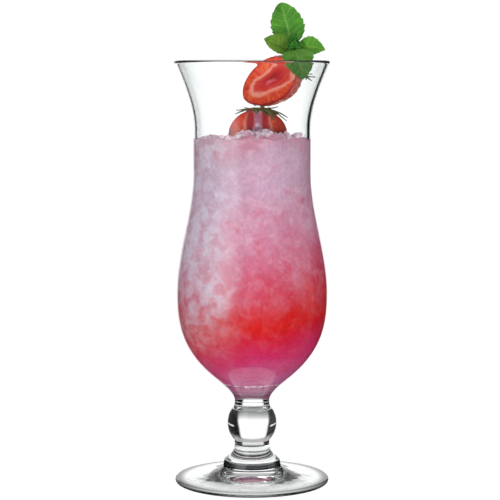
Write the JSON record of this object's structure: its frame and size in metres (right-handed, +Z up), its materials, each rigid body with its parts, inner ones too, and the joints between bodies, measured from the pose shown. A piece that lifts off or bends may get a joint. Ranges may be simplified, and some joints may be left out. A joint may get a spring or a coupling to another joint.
{
  "type": "hurricane glass with iced drink",
  "caption": "Tall footed cocktail glass with a flared rim, waist and bulb, holding a layered iced drink garnished with strawberry halves and mint.",
  "frame": {"origin": "middle of the foot's underside, on the surface the glass stands on", "axes": "+Z up along the glass's axis, -Y towards the viewer of the strawberries' cut faces, +X to the viewer's right"},
  "size_m": [0.0756, 0.0756, 0.2336],
  "materials": {
    "clear_glass": "clear, polished, colourless",
    "syrup": "clear magenta syrup",
    "red_drink": "red fruit slush",
    "pale_slush": "pale lilac and pink crushed-ice slush",
    "ice": "wet whitish crushed ice",
    "strawberry": "moist cut strawberry, glossy red skin",
    "crown_leaf": "dull green strawberry leaves",
    "pick_wood": "plain birch",
    "mint": "fresh mint green, slightly glossy"
  },
  "bodies": {
    "glass": {"bowl": "clear_glass", "stem": "clear_glass", "foot": "clear_glass", "syrup_layer": "syrup", "red_layer": "red_drink", "ice_slush": "pale_slush", "ice_chips": "ice"},
    "lower_strawberry": {"lower_berry": "strawberry", "lower_crown": "crown_leaf"},
    "pick": {"pick": "pick_wood"},
    "upper_strawberry": {"upper_berry": "strawberry", "upper_crown": "crown_leaf"},
    "mint_sprig": {"mint_stem": "mint", "mint_back_leaf": "mint", "mint_left_leaf": "mint", "mint_right_leaf": "mint", "mint_front_leaf": "mint", "mint_bud": "mint"}
  },
  "joints": [
    {"name": "garnish_lift", "type": "slide", "parent": "glass", "child": "lower_strawberry", "axis": [0, 0, 1], "range_m": [0, 0.06]},
    {"name": "pick_pull", "type": "slide", "parent": "lower_strawberry", "child": "pick", "axis": [0, 0, 1], "range_m": [0, 0.032]},
    {"name": "upper_berry_pull", "type": "slide", "parent": "pick", "child": "upper_strawberry", "axis": [0, 0, 1], "range_m": [0, 0.024]},
    {"name": "mint_pull", "type": "slide", "parent": "upper_strawberry", "child": "mint_sprig", "axis": [0, 0, 1], "range_m": [0, 0.018]}
  ]
}
